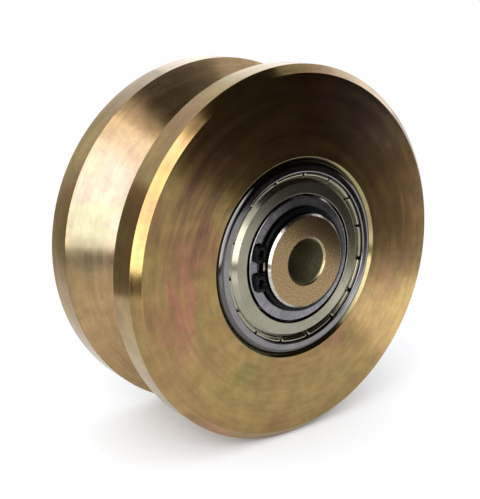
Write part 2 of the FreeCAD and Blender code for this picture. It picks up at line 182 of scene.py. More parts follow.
def fromAxis(tree):
    # A point as seen from the wheel's axis: the vector straight out to it, that vector's length
    # and the point's height along the axis
    place = node(tree, "ShaderNodeTexCoord", out="Object")
    parts = node(tree, "ShaderNodeSeparateXYZ", {0: place}, out=None)
    away = node(tree, "ShaderNodeCombineXYZ", {"X": parts["X"], "Z": parts["Z"]})
    radius = node(tree, "ShaderNodeVectorMath", {0: away}, out="Value", operation="LENGTH")
    return away, radius, parts["Y"]


def turnedSpace(tree, across, along):
    # Vector for marks left by turning: it changes by 1 every `across` metres away from the axis,
    # or every across / heightShare metres along it, and by `along` in all round the circle, with
    # no seam
    heightShare = 0.55
    away, radius, height = fromAxis(tree)
    facing = node(tree, "ShaderNodeVectorMath", {0: away}, operation="NORMALIZE")
    turned = node(tree, "ShaderNodeVectorMath", {0: facing, "Scale": along}, operation="SCALE")
    both = node(tree, "ShaderNodeMath", {0: height, 1: heightShare, 2: radius}, operation="MULTIPLY_ADD")
    scaled = node(tree, "ShaderNodeMath", {0: both, 1: 1 / across}, operation="MULTIPLY")
    step = node(tree, "ShaderNodeCombineXYZ", {"Y": scaled})
    return node(tree, "ShaderNodeVectorMath", {0: turned, 1: step})


def nearPoint(tree, place, patch):
    # The patch's `most` round its middle, falling to 0 at a distance of its `reach`
    fullShare = 0.4
    away = node(tree, "ShaderNodeVectorMath", {0: place, 1: patch["middle"]}, out="Value",
                operation="DISTANCE")
    return node(tree, "ShaderNodeMapRange", {
        "Value": away, "From Min": patch["reach"] * fullShare, "From Max": patch["reach"],
        "To Min": patch["most"], "To Max": 0.0})


def surfaced(tree, sockets):
    # One Principled shader with these sockets, on the material's output
    surface = node(tree, "ShaderNodeBsdfPrincipled", sockets)
    node(tree, "ShaderNodeOutputMaterial", {"Surface": surface})


def zincWheelMaterial():
    # Free-cutting steel, turned, zinc plated and yellow passivated. The thin chromate film shifts
    # between rose, tan and olive, and the turning marks pull every reflection out across the
    # circles they run in. The front face has a pink stain and brown streaks, and the groove is
    # paler and rougher all round where the track rubs it. Light is painted in three places: the
    # rims are paler in two places at the top, a painted highlight where their lands mirror the
    # bright room at a grazing angle; a grey patch, green in places, lies on the far flank where the
    # lamp's reflection falls, a painted highlight that pales and greys it; and the seat chamfer is
    # a paler yellow green, a painted highlight for the bright line it reflects. A real turning mark
    # is about 0.1 mm wide, too fine to show, so the marks are drawn 0.35 to 3.4 mm wide.
    look = {
        "tints": [(0.34, "#966d50"), (0.46, "#917549"), (0.56, "#967e4c"), (0.68, "#877a45")],
        "patch": 24 * mm, "blot": 5 * mm, "bands": 2.0 * mm, "strokes": 1.4 * mm,
        "drags": 3.4 * mm, "grooves": 0.35 * mm, "grooveHeight": 0.002 * mm,
        "bandHeight": 0.012 * mm, "bandShade": (0.95, 1.06), "strokeShade": (0.88, 1.12),
        "blotShade": (0.82, 1.18), "roughness": (0.185, 0.225), "grooveRoughness": 0.07,
        "anisotropy": 0.6, "edgeTint": "#f8f4ec", "coat": 0.35, "coatRoughness": 0.1,
        "grooveMouth": 12.4 * mm, "worn": "#a3865e", "wornShare": 0.7, "greenHighlightTint": "#7c7a5c",
        "greenHighlightShare": 0.8, "seatHighlight": "#958961", "seatHighlightRadius": 26.4 * mm,
        "seatHighlightHalf": 0.5 * mm,
    }
    brown = {"colour": "#87664c", "middle": (38 * mm, -22 * mm, 14 * mm), "reach": 30 * mm,
             "most": 0.65}
    # The stain runs downwards, so its place and its blots are in a space squeezed by `upended`
    stain = {"colour": "#a66e59", "middle": (-55 * mm, -22 * mm, -3.5 * mm), "reach": 12 * mm,
             "most": 0.75, "upended": (1.5, 1.0, 0.6), "mask": (0.47, 0.56)}
    streak = {"colour": "#65453a", "middle": (-30 * mm, -22 * mm, 18 * mm), "reach": 19 * mm,
              "most": 0.7, "mask": (0.46, 0.66)}
    # Painted highlights: two paler places at the top of the rims, where the lands mirror the bright room at
    # a grazing angle
    paintedTopHighlights = [{"colour": "#b5a18e", "middle": middle, "reach": 25 * mm, "most": 0.65}
             for middle in ((-14 * mm, 19 * mm, 48 * mm), (26 * mm, -18 * mm, 46 * mm))]
    # Painted highlight: a grey patch on the far flank, where the lamp's reflection falls, that pales and
    # greys that reflection, green in places
    flankHighlight = {"colour": "#7d7469", "middle": (-41 * mm, 8 * mm, 16 * mm), "reach": 22 * mm,
           "most": 0.85, "greenHighlightMask": (0.45, 0.55)}
    material, tree = newMaterial("yellowZincTurned")
    place = node(tree, "ShaderNodeTexCoord", out="Object")
    _, radius, along = fromAxis(tree)
    upended = node(tree, "ShaderNodeVectorMath", {0: place, 1: stain["upended"]}, operation="MULTIPLY")
    patches = node(tree, "ShaderNodeTexNoise", {
        "Vector": place, "Scale": 1 / look["patch"], "Detail": 4.0, "Roughness": 0.6})
    blots, runs = [node(tree, "ShaderNodeTexNoise", {
        "Vector": space, "Scale": 1 / look["blot"], "Detail": 4.0, "Roughness": 0.65})
        for space in (place, upended)]
    bands, strokes, drags = [node(tree, "ShaderNodeTexNoise", {
        "Vector": turnedSpace(tree, look[key], turns), "Scale": 1.0, "Detail": 3.0, "Roughness": 0.6})
        for key, turns in (("bands", 1.3), ("strokes", 4.0), ("drags", 1.6))]
    grooves = node(tree, "ShaderNodeTexNoise", {
        "Vector": turnedSpace(tree, look["grooves"], 3.0), "Scale": 1.0, "Detail": 2.0, "Roughness": 0.6})

    # Where each stain, streak or worn zone lies, as an amount from 0 to 1
    stained, streaked, greenHighlightAmount = [node(tree, "ShaderNodeMapRange", {
        "Value": value, "From Min": mask[0], "From Max": mask[1], "To Min": 0.0, "To Max": most})
        for value, mask, most in ((runs, stain["mask"], 1.0), (drags, streak["mask"], 1.0),
                                  (patches, flankHighlight["greenHighlightMask"], look["greenHighlightShare"]))]
    inGroove = node(tree, "ShaderNodeMath", {0: along, 1: 0.0, 2: look["grooveMouth"]},
                    operation="COMPARE")
    # Painted highlight: the seat chamfer's band is tinted paler and greener so the line it reflects reads
    # bright
    onSeatHighlight = node(tree, "ShaderNodeMath",
                      {0: radius, 1: look["seatHighlightRadius"], 2: look["seatHighlightHalf"]},
                      operation="COMPARE")
    nearStain, nearStreak, nearFlankHighlight = [
        nearPoint(tree, space, patch) for space, patch in ((upended, stain), (place, streak), (place, flankHighlight))]
    stained, streaked, worn, paintedFlankHighlight = [
        node(tree, "ShaderNodeMath", {0: first, 1: second}, operation="MULTIPLY")
        for first, second in ((nearStain, stained), (nearStreak, streaked),
                              (inGroove, look["wornShare"]), (nearFlankHighlight, inGroove))]
    # The green share of the painted flank highlight
    greenFlankHighlight = node(tree, "ShaderNodeMath", {0: paintedFlankHighlight, 1: greenHighlightAmount}, operation="MULTIPLY")
    tint = node(tree, "ShaderNodeValToRGB", {"Fac": patches}, stops=look["tints"])
    layers = [(nearPoint(tree, place, brown), brown["colour"]), (stained, stain["colour"]),
              (streaked, streak["colour"])]
    # Paler colour at the top of the rims, painted highlight
    layers += [(nearPoint(tree, place, paintedTopHighlight), paintedTopHighlight["colour"]) for paintedTopHighlight in paintedTopHighlights]
    layers += [(worn, look["worn"]), (paintedFlankHighlight, flankHighlight["colour"]), (greenFlankHighlight, look["greenHighlightTint"]),
               (onSeatHighlight, look["seatHighlight"])]
    for amount, colour in layers:
        tint = node(tree, "ShaderNodeMix", {"Factor": amount, 6: tint, 7: linear(colour)}, out=2,
                    data_type="RGBA")
    for value, key in ((bands, "bandShade"), (strokes, "strokeShade"), (blots, "blotShade")):
        shade = node(tree, "ShaderNodeMapRange", {
            "Value": value, "From Min": 0.3, "From Max": 0.7, "To Min": look[key][0],
            "To Max": look[key][1]})
        tint = node(tree, "ShaderNodeVectorMath", {0: tint, "Scale": shade}, operation="SCALE")

    rough = node(tree, "ShaderNodeMapRange", {
        "Value": bands, "From Min": 0.3, "From Max": 0.7, "To Min": look["roughness"][0],
        "To Max": look["roughness"][1]})
    rough = node(tree, "ShaderNodeMath", {0: inGroove, 1: look["grooveRoughness"], 2: rough},
                 operation="MULTIPLY_ADD")
    waves = node(tree, "ShaderNodeBump", {"Height": bands, "Distance": look["bandHeight"],
                                          "Strength": 1.0})
    bump = node(tree, "ShaderNodeBump", {"Height": grooves, "Distance": look["grooveHeight"],
                                         "Strength": 1.0, "Normal": waves})
    surfaced(tree, {
        "Base Color": tint, "Metallic": 1.0, "Roughness": rough,
        "Anisotropic": look["anisotropy"], "Anisotropic Rotation": 0.25,
        "Tangent": node(tree, "ShaderNodeTangent", direction_type="RADIAL", axis="Y"),
        "Normal": bump, "Specular Tint": linear(look["edgeTint"]),
        "Coat Weight": look["coat"], "Coat Roughness": look["coatRoughness"]})
    return material


def groundSteelMaterial(name, look):
    # Hardened bearing steel, ground: cool grey, nearly a mirror, with hair-fine marks round it or,
    # on the inner ring, scuffs across it. The outer ring's rounded corner is darker, painted shade
    # for the shadowed gap between the ring and the wheel's seat. A grinding mark is some
    # hundredths of a millimetre wide, so it is drawn 0.12 mm or more.
    material, tree = newMaterial(name)
    place = node(tree, "ShaderNodeTexCoord", out="Object")
    cloud = node(tree, "ShaderNodeTexNoise", {
        "Vector": place, "Scale": 1 / look["cloud"], "Detail": 2.0, "Roughness": 0.5})
    marks = node(tree, "ShaderNodeTexNoise", {
        "Vector": turnedSpace(tree, look["marks"], look["turns"]), "Scale": 1.0, "Detail": 2.0,
        "Roughness": 0.6})
    tint = node(tree, "ShaderNodeValToRGB", {"Fac": cloud},
                stops=[(0.35, look["dark"]), (0.65, look["light"])])
    # Painted shade: from the corner's start radius outwards the colour darkens to the corner colour
    onShadedCorner = node(tree, "ShaderNodeMapRange", {
        "Value": fromAxis(tree)[1], "From Min": look["shadedCornerStart"],
        "From Max": look["shadedCornerStart"] + look["shadedCornerFade"], "To Min": 0.0, "To Max": 1.0})
    tint = node(tree, "ShaderNodeMix", {"Factor": onShadedCorner, 6: tint, 7: linear(look["corner"])},
                out=2, data_type="RGBA")
    shade = node(tree, "ShaderNodeMapRange", {
        "Value": marks, "From Min": 0.3, "From Max": 0.7, "To Min": 1 - look["scuff"],
        "To Max": 1 + look["scuff"]})
    tint = node(tree, "ShaderNodeVectorMath", {0: tint, "Scale": shade}, operation="SCALE")
    rough = node(tree, "ShaderNodeMapRange", {
        "Value": cloud, "From Min": 0.3, "From Max": 0.7, "To Min": look["roughness"] - 0.03,
        "To Max": look["roughness"] + 0.03})
    bump = node(tree, "ShaderNodeBump", {"Height": marks, "Distance": look["markHeight"],
                                         "Strength": 1.0})
    surfaced(tree, {
        "Base Color": tint, "Metallic": 1.0, "Roughness": rough,
        "Anisotropic": look["anisotropy"], "Anisotropic Rotation": 0.25,
        "Tangent": node(tree, "ShaderNodeTangent", direction_type="RADIAL", axis="Y"),
        "Normal": bump})
    return material


def grainyMaterial(name, look):
    # Metal with a fine even grain rather than turning marks: blasted, pressed or phosphated
    material, tree = newMaterial(name)
    place = node(tree, "ShaderNodeTexCoord", out="Object")
    cloud = node(tree, "ShaderNodeTexNoise", {
        "Vector": place, "Scale": 1 / look["cloud"], "Detail": 3.0, "Roughness": 0.6})
    grain = node(tree, "ShaderNodeTexNoise", {
        "Vector": place, "Scale": 1 / look["grain"], "Detail": 2.0, "Roughness": 0.6})
    mixed = node(tree, "ShaderNodeMath", {0: grain, 1: look["grainShare"], 2: cloud},
                 operation="MULTIPLY_ADD")
    middle = 0.5 + 0.5 * look["grainShare"]
    tint = node(tree, "ShaderNodeValToRGB", {"Fac": mixed},
                stops=[(middle - 0.16, look["dark"]), (middle + 0.16, look["light"])])
    rough = node(tree, "ShaderNodeMapRange", {
        "Value": grain, "From Min": 0.3, "From Max": 0.7, "To Min": look["roughness"] - 0.03,
        "To Max": look["roughness"] + 0.03})
    bump = node(tree, "ShaderNodeBump", {"Height": grain, "Distance": look["grainHeight"],
                                         "Strength": 1.0})
    surfaced(tree, {"Base Color": tint, "Metallic": look["metallic"], "Roughness": rough,
                    "Normal": bump})
    return material


def sleeveMaterial():
    # Steel tube, ground outside, its end faces grained and its skin passivated to a bronze brown:
    # silver at the rim, gold on the bore's chamfer, dark olive down the bore. Its side, from one
    # end chamfer to the other, is near black.
    look = {
        "bore": "#8e8668", "boreEdge": "#9a9072", "bronze": "#9a8260", "darkSide": "#2b231b",
        "ground": "#b7b2aa", "boreEnd": 6.05 * mm, "edgeEnd": 6.45 * mm, "bronzeEnd": 11.85 * mm,
        "rim": 12.5 * mm, "darkSideStart": 12.2 * mm, "endStart": 24.42 * mm,
        "grain": 0.5 * mm, "grainHeight": 0.002 * mm, "grainShade": (0.6, 1.4),
        "roughness": 0.16, "boreRoughness": 0.55,
    }
    material, tree = newMaterial("passivatedSleeveSteel")
    place = node(tree, "ShaderNodeTexCoord", out="Object")
    _, radius, along = fromAxis(tree)
    grain = node(tree, "ShaderNodeTexNoise", {
        "Vector": place, "Scale": 1 / look["grain"], "Detail": 3.0, "Roughness": 0.7})
    share = node(tree, "ShaderNodeMath", {0: radius, 1: look["rim"]}, operation="DIVIDE")
    borders = [look[key] / look["rim"] for key in ("boreEnd", "edgeEnd", "bronzeEnd")]
    tint = node(tree, "ShaderNodeValToRGB", {"Fac": share}, stops=[
        (borders[0], look["bore"]), (borders[0] + 0.004, look["boreEdge"]),
        (borders[1], look["boreEdge"]), (borders[1] + 0.006, look["bronze"]),
        (borders[2], look["bronze"]), (borders[2] + 0.01, look["ground"])])
    # Near black on the side from one end chamfer to the other, outside 12.2 mm
    inward = node(tree, "ShaderNodeMath", {0: along, 1: 0.0, 2: look["endStart"]}, operation="COMPARE")
    outside = node(tree, "ShaderNodeMath", {0: radius, 1: look["darkSideStart"]}, operation="GREATER_THAN")
    onDarkSide = node(tree, "ShaderNodeMath", {0: inward, 1: outside}, operation="MULTIPLY")
    tint = node(tree, "ShaderNodeMix", {"Factor": onDarkSide, 6: tint, 7: linear(look["darkSide"])},
                out=2, data_type="RGBA")
    shade = node(tree, "ShaderNodeMapRange", {
        "Value": grain, "From Min": 0.3, "From Max": 0.7, "To Min": look["grainShade"][0],
        "To Max": look["grainShade"][1]})
    tint = node(tree, "ShaderNodeVectorMath", {0: tint, "Scale": shade}, operation="SCALE")
    rough = node(tree, "ShaderNodeMapRange", {
        "Value": radius, "From Min": look["boreEnd"], "From Max": look["edgeEnd"],
        "To Min": look["boreRoughness"], "To Max": look["roughness"]})
    bump = node(tree, "ShaderNodeBump", {"Height": grain, "Distance": look["grainHeight"],
                                         "Strength": 1.0})
    surfaced(tree, {"Base Color": tint, "Metallic": 1.0, "Roughness": rough, "Normal": bump})
    return material


def blackSpringMaterial():
    # Spring steel, stamped, phosphated and oiled: a satin black skin that isn't bare metal
    look = {"black": "#060708", "roughness": 0.24, "specular": 0.12, "grain": 0.2 * mm,
            "grainHeight": 0.002 * mm}
    material, tree = newMaterial("blackPhosphateSpringSteel")
    place = node(tree, "ShaderNodeTexCoord", out="Object")
    grain = node(tree, "ShaderNodeTexNoise", {
        "Vector": place, "Scale": 1 / look["grain"], "Detail": 2.0, "Roughness": 0.5})
    bump = node(tree, "ShaderNodeBump", {"Height": grain, "Distance": look["grainHeight"],
                                         "Strength": 1.0})
    surfaced(tree, {"Base Color": linear(look["black"]), "Roughness": look["roughness"],
                    "Specular IOR Level": look["specular"], "Normal": bump})
    return material


zincWheel = zincWheelMaterial()
sleeveSteel = sleeveMaterial()
clipBlack = blackSpringMaterial()
# Each look's corner colour is painted shade for the dark gap round the outer ring's corner
ringSteel = groundSteelMaterial("groundBearingSteel", {
    "dark": "#7a7879", "light": "#8b8889", "cloud": 9 * mm, "marks": 0.12 * mm, "turns": 6.0,
    "scuff": 0.05, "markHeight": 0.001 * mm, "roughness": 0.14, "anisotropy": 0.5,
    "corner": "#5a5857", "shadedCornerStart": 24.4 * mm, "shadedCornerFade": 0.3 * mm})
scuffedSteel = groundSteelMaterial("scuffedBearingSteel", {
    "dark": "#7a787b", "light": "#8a878b", "cloud": 5 * mm, "marks": 5 * mm, "turns": 45.0,
    "scuff": 0.28, "markHeight": 0.003 * mm, "roughness": 0.22, "anisotropy": 0.2,
    "corner": "#5a5857", "shadedCornerStart": 24.4 * mm, "shadedCornerFade": 0.3 * mm})
ballSteel = groundSteelMaterial("polishedBallSteel", {
    "dark": "#b6b6b8", "light": "#c9c9cb", "cloud": 3 * mm, "marks": 0.3 * mm, "turns": 6.0,
    "scuff": 0.0, "markHeight": 0.0002 * mm, "roughness": 0.08, "anisotropy": 0.0,
    "corner": "#c9c9cb", "shadedCornerStart": 24.4 * mm, "shadedCornerFade": 0.3 * mm})
# Cold-rolled strip, pressed and tumbled: pale warm grey satin
shieldSteel = grainyMaterial("satinShieldSteel", {
    "dark": "#918e7d", "light": "#9e9a88", "cloud": 6 * mm, "grain": 0.25 * mm, "grainShare": 0.15,
    "grainHeight": 0.0008 * mm, "roughness": 0.18, "metallic": 1.0})
# The same strip left bright for the cages
cageSteel = grainyMaterial("brightCageSteel", {
    "dark": "#9a9a97", "light": "#b5b5b1", "cloud": 4 * mm, "grain": 0.3 * mm, "grainShare": 0.3,
    "grainHeight": 0.0015 * mm, "roughness": 0.3, "metallic": 1.0})
print("materials made")


wheel = {
    "radius": wheelHigh.x / mm, "half": wheelHigh.y / mm, "halfMouth": 12.5, "rootRounding": 2.5,
    "rimRadial": 2.2, "rimAxial": 2.0, "edge": 0.22, "seat": 26.0, "seatChamfer": 0.8,
    "web": 23.65, "halfWeb": 7.2,
}


def makeWheel(size):
    # Outline from the web's bore, out along the near face, down the V and back along the far face
    radius, half, edge = size["radius"], size["half"], size["edge"]
    side = [
        (size["web"], -size["halfWeb"], edge),
        (size["seat"], -size["halfWeb"], 0.1),
        (size["seat"], size["seatChamfer"] - half, 0.12),
        (size["seat"] + size["seatChamfer"], -half, 0.12),
        (radius - size["rimRadial"], -half, edge),
        (radius, size["rimAxial"] - half, edge),
        (radius, -size["halfMouth"], edge),
    ]
    root = [(radius - size["halfMouth"], 0.0, size["rootRounding"])]
    far = [(across, -along, rounding) for across, along, rounding in reversed(side)]
    return ringOf(side + root + far, 320, 7)


addPiece("turnedWheel", makeWheel(wheel), "wheel", zincWheel, ["wheel_body"])

sleeve = {
    "radius": sleeveHigh.x / mm, "half": sleeveHigh.y / mm, "bore": 6.0, "endChamfer": 0.6,
    "boreChamfer": 0.5, "grooveFloor": 11.95, "grooveStart": 22.2, "grooveEnd": 23.5, "edge": 0.08,
}


def makeSleeve(size):
    half, edge = size["half"], size["edge"]
    side = [
        (size["bore"], size["boreChamfer"] - half, edge),
        (size["bore"] + size["boreChamfer"], -half, edge),
        (size["radius"] - size["endChamfer"], -half, edge),
        (size["radius"], size["endChamfer"] - half, edge),
        (size["radius"], -size["grooveEnd"], 0.04),
        (size["grooveFloor"], -size["grooveEnd"], 0.04),
        (size["grooveFloor"], -size["grooveStart"], 0.04),
        (size["radius"], -size["grooveStart"], 0.04),
    ]
    return ringOf(mirrored(side), 192, 5)


addPiece("groundSleeve", makeSleeve(sleeve), "axle", sleeveSteel, ["axle_sleeve"])
print("wheel and sleeve made")


bearing = {
    "bore": 12.5, "outside": 26.0, "half": 7.5, "pitch": 19.25, "ball": 3.969, "clearance": 0.03,
    "raceEase": 0.13, "raceDepth": 1.302, "corner": 1.7, "edge": 0.35, "seatStep": 0.9, "snap": 0.35,
    "seatFloor": 5.31, "snapTop": 5.83,
}


def raceway(deep, side, size):
    # Corners of a round groove around the balls, from -Y to +Y: points of one circle whose
    # centre leaves the small clearance at the bottom
    radius = size["ball"] + size["raceEase"]
    middle = deep - side * radius
    half = math.acos((radius - size["raceDepth"]) / radius)
    angles = np.linspace(-half, half, 9)
    return [(middle + side * radius * math.cos(a), radius * math.sin(a), 0.12) for a in angles]


def makeOuterRing(size):
    land = size["pitch"] + size["ball"] + size["clearance"] - size["raceDepth"]
    seat = land + size["seatStep"]
    half, edge = size["half"], size["edge"]
    side = [
        (land, -size["seatFloor"], 0.06),
        (seat + size["snap"], -size["seatFloor"], 0.05),
        (seat + size["snap"], -size["snapTop"], 0.05),
        (seat, -size["snapTop"], 0.06),
        (seat, -half, edge),
        (size["outside"], -half, size["corner"]),
    ]
    far = [(across, -along, rounding) for across, along, rounding in reversed(side)]
    race = raceway(size["pitch"] + size["ball"] + size["clearance"], 1, size)
    return ringOf(side + far + race[::-1], 256, 6)


def makeInnerRing(size):
    land = size["pitch"] - size["ball"] - size["clearance"] + size["raceDepth"]
    half = size["half"]
    side = [(size["bore"], -half, size["corner"]), (land, -half, size["edge"])]
    far = [(across, -along, rounding) for across, along, rounding in reversed(side)]
    race = raceway(size["pitch"] - size["ball"] - size["clearance"], -1, size)
    return ringOf(side + race + far, 256, 6)


shield = {
    "front": 7.35, "sheet": 0.4, "lip": 17.25, "lipDepth": 0.85, "flatOut": 20.26,
    "valley": 6.35, "valleyIn": 21.61, "valleyOut": 21.76, "bead": 0.52, "beadMiddle": 22.28,
    "beadHeight": 6.53, "foot": 5.31, "footOut": 23.15, "slits": 15, "slitWidth": 0.55,
    "slitTurn": math.radians(15.1),
}


def makeShield(size):
    # The disc is one full turn. The rim is a row of rolled tabs, one between each two slits.
    front, sheet, valley = size["front"], size["sheet"], size["valley"]
    disc = ringOf([
        (size["lip"], -front, 0.16),
        (size["flatOut"], -front, 0.2),
        (size["valleyIn"], -valley, 0.15),
        (size["valleyOut"] + 0.15, -valley, 0.05),
        (size["valleyOut"] + 0.15, sheet - valley, 0.05),
        (size["valleyIn"] - sheet / 2, sheet - valley, 0.1),
        (size["flatOut"] - sheet / 2, sheet - front, 0.1),
        (size["lip"] + sheet, sheet - front, 0.1),
        (size["lip"] + sheet, size["lipDepth"] - front, 0.05),
        (size["lip"], size["lipDepth"] - front, 0.05),
    ], 240, 5)
    roll = np.linspace(math.radians(200), math.radians(380), 13)
    across = size["beadMiddle"] + size["bead"] * np.cos(roll)
    along = -size["beadHeight"] + size["bead"] * np.sin(roll)
    tab = [(x, y, 0.03) for x, y in zip(across, along)] + [
        (size["beadMiddle"] + size["bead"] - 0.1, -size["foot"] - sheet, 0.04),
        (size["footOut"], -size["foot"] - sheet, 0.06),
        (size["footOut"], -size["foot"], 0.06),
        (size["valleyOut"], -size["foot"], 0.06),
    ]
    outline = roundedOutline(tab, 3)
    share = 2 * math.pi / size["slits"]
    halfSlit = size["slitWidth"] / 2 / size["beadMiddle"]
    shells = [disc]
    for k in range(size["slits"]):
        start = size["slitTurn"] + k * share
        shells.append(swept(outline, np.linspace(start + halfSlit, start + share - halfSlit, 17), False))
    return joined(shells)


outerRing, innerRing, pressedShield = makeOuterRing(bearing), makeInnerRing(bearing), makeShield(shield)
for end, side in (("front", -1), ("rear", 1)):
    low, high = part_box(f"{end}_inner_ring")
    middle = (low.y + high.y) / 2
    outwards = pressedShield if side < 0 else flipped(pressedShield)
    inwards = flipped(pressedShield) if side < 0 else pressedShield
    addPiece(f"{end}OuterRing", shifted(outerRing, middle), "wheel", ringSteel,
             [f"{end}_outer_ring"])
    addPiece(f"{end}InnerRing", shifted(innerRing, middle), "axle", scuffedSteel,
             [f"{end}_inner_ring"])
    addPiece(f"{end}OuterShield", shifted(outwards, middle), "wheel", shieldSteel,
             [f"{end}_outer_shield"])
    addPiece(f"{end}InnerShield", shifted(inwards, middle), "wheel", shieldSteel,
             [f"{end}_inner_shield"])
print("bearings made")


clip = {
    "inside": 11.95, "wide": 2.5, "narrow": 1.3, "thickness": 1.2, "gap": 2.8, "lugWidth": 4.8,
    "lugReach": 3.4, "lugPower": 4.0, "lugEase": 0.02, "endInset": 0.4, "hole": 0.95,
    "holeInset": 1.7, "edge": 0.14,
}


def slab(inner, outer, low, high, edge, closed):
    # A flat band between two curves in the XZ plane, both of the same count of points. Its
    # section is a rectangle with broken edges, worked out for every pair of points at once.
    out = outer - inner
    reach = np.linalg.norm(out, axis=1, keepdims=True)
    unit = out / reach
    share = [(0, edge), (edge, 0), (-edge, 0), (0, edge), (0, -edge), (-edge, 0), (edge, 0), (0, -edge)]
    base = [inner, inner, outer, outer, outer, outer, inner, inner]
    heights = [low + edge, low, low, low + edge, high - edge, high, high, high - edge]
    rows = [start + unit * across for start, (across, _) in zip(base, share)]
    points = np.stack([np.column_stack([row[:, 0], np.full(len(row), height), row[:, 1]])
                       for row, height in zip(rows, heights)])
    count = len(inner)
    i, j = np.meshgrid(np.arange(8), np.arange(count if closed else count - 1), indexing="ij")
    quads = np.stack([i * count + j, (i + 1) % 8 * count + j, (i + 1) % 8 * count + (j + 1) % count,
                      i * count + (j + 1) % count], axis=-1).reshape(-1, 4).tolist()
    if not closed:
        ends = np.arange(8) * count
        quads += [ends.tolist(), (ends + count - 1)[::-1].tolist()]
    return points.reshape(-1, 3) * mm, quads


def makeClip(size):
    # Spring ring: the inner curve is a circle, the outer one a circle set off to +X, and each end
    # carries a lug, a band from the hole's circle to the lug's outline, |x|^power + |z|^power = 1
    # in shares of its half length and half width
    outerRadius = size["inside"] + (size["wide"] + size["narrow"]) / 2
    offset = (size["wide"] - size["narrow"]) / 2
    opening = math.asin((size["gap"] / 2 + size["endInset"]) / size["inside"])
    angle = np.linspace(math.pi - opening, opening - math.pi, 161)
    inner = size["inside"] * np.stack([np.cos(angle), np.sin(angle)], axis=-1)
    reach = offset * np.cos(angle) + np.sqrt(outerRadius ** 2 - (offset * np.sin(angle)) ** 2)
    outer = reach[:, None] * np.stack([np.cos(angle), np.sin(angle)], axis=-1)
    shells = [slab(inner, outer, -size["thickness"], 0.0, size["edge"], False)]
    for side in (1, -1):
        middle = np.array([-(size["inside"] + size["holeInset"]),
                           side * (size["gap"] + size["lugWidth"]) / 2])
        turn = -side * np.arange(72) * 2 * math.pi / 72
        ray = np.stack([np.cos(turn), np.sin(turn)], axis=-1)
        half = np.array([[size["lugReach"] - size["holeInset"], size["lugWidth"] / 2]])
        power = size["lugPower"]
        superRound = (np.abs(ray / half) ** power).sum(1) ** (-1 / power)
        shells.append(slab(middle + size["hole"] * ray, middle + superRound[:, None] * ray,
                           size["lugEase"] - size["thickness"], -size["lugEase"], size["edge"], True))
    return shells


def addClip(name, size, turnOver, height, cadNode):
    points, faces, offset = [], [], 0
    for shellPoints, shellFaces in makeClip(size):
        points.append(shellPoints)
        faces += [[corner + offset for corner in face] for face in shellFaces]
        offset += len(shellPoints)
    points = np.concatenate(points)
    if turnOver:
        points = points * np.array([1.0, -1.0, -1.0])
    mesh = bpy.data.meshes.new(name)
    mesh.from_pydata(points + np.array([0, height, 0]), [], faces)
    mesh.update()
    mesh.polygons.foreach_set("use_smooth", np.ones(len(mesh.polygons), bool))
    mesh.set_sharp_from_angle(angle=math.radians(50))
    mesh.materials.append(clipBlack)
    piece = bpy.data.objects.new(name, mesh)
    bpy.context.scene.collection.objects.link(piece)
    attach(piece, "axle")
    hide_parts(cadNode)


for end in ("front", "rear"):
    low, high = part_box(f"{end}_retaining_ring")
    addClip(f"{end}RetainingRing", clip, end == "rear", high.y if end == "front" else low.y,
            f"{end}_retaining_ring")
print("retaining rings made")


for name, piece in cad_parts.items():
    if "_ball_" in name:
        finish = ballSteel
    elif "_cage_" in name:
        finish = cageSteel
    else:
        continue
    piece.data.materials.clear()
    piece.data.materials.append(finish)
print("balls and cages finished")


stage = {
    "reach": 1.2, "white": "#f3f5f8", "nearRadius": 0.05, "farRadius": 0.17, "ambient": 1.15,
}


def addPlate(name, corners, material, onlyReflected):
    mesh = bpy.data.meshes.new(name)
    mesh.from_pydata(corners, [], [(0, 1, 2, 3)])
    mesh.materials.append(material)
    plate = bpy.data.objects.new(name, mesh)
    bpy.context.scene.collection.objects.link(plate)
    if onlyReflected:
        plate.visible_camera = False
        plate.visible_diffuse = False
        plate.visible_shadow = False
        plate.visible_transmission = False


def seenOrReflected(tree):
    # 1 where the camera, a reflection or clear material looks, 0 for scattered light
    path = node(tree, "ShaderNodeLightPath", out=None)
    first = node(tree, "ShaderNodeMath", {0: path["Is Camera Ray"], 1: path["Is Glossy Ray"]},
                 operation="MAXIMUM")
    return node(tree, "ShaderNodeMath", {0: first, 1: path["Is Transmission Ray"]},
                operation="MAXIMUM")


def floorMaterial(size):
    # White paper sweep: matt near the wheel, where it takes the shadow, then plain white
    material, tree = newMaterial("paperSweep")
    place = node(tree, "ShaderNodeTexCoord", out="Object")
    away = node(tree, "ShaderNodeVectorMath", {0: place}, out="Value", operation="LENGTH")
    far = node(tree, "ShaderNodeMapRange", {
        "Value": away, "From Min": size["nearRadius"], "From Max": size["farRadius"],
        "To Min": 0.0, "To Max": 1.0})
    matt = node(tree, "ShaderNodeBsdfDiffuse", {"Color": linear(size["white"])})
    bright = node(tree, "ShaderNodeEmission", {"Color": (1, 1, 1, 1), "Strength": 1.0})
    share = node(tree, "ShaderNodeMath", {0: far, 1: seenOrReflected(tree)}, operation="MULTIPLY")
    mixed = node(tree, "ShaderNodeMixShader", {0: share, 1: matt, 2: bright})
    node(tree, "ShaderNodeOutputMaterial", {"Surface": mixed})
    return material


def cardMaterial(name, colour, strength):
    # Card or cloth that only shows in reflections
    material, tree = newMaterial(name)
    glow = node(tree, "ShaderNodeEmission", {"Color": linear(colour), "Strength": strength})
    node(tree, "ShaderNodeOutputMaterial", {"Surface": glow})
    return material


def upright(middle, azimuth, width, low, high):
    # Corners of a standing card that faces the wheel: its distance, the direction it stands in,
    # its width and the heights of its edges
    a = math.radians(azimuth)
    base = Vector((math.cos(a), math.sin(a), 0)) * middle
    half = Vector((-math.sin(a), math.cos(a), 0)) * width / 2
    return [base - half + Vector((0, 0, low)), base + half + Vector((0, 0, low)),
            base + half + Vector((0, 0, high)), base - half + Vector((0, 0, high))]


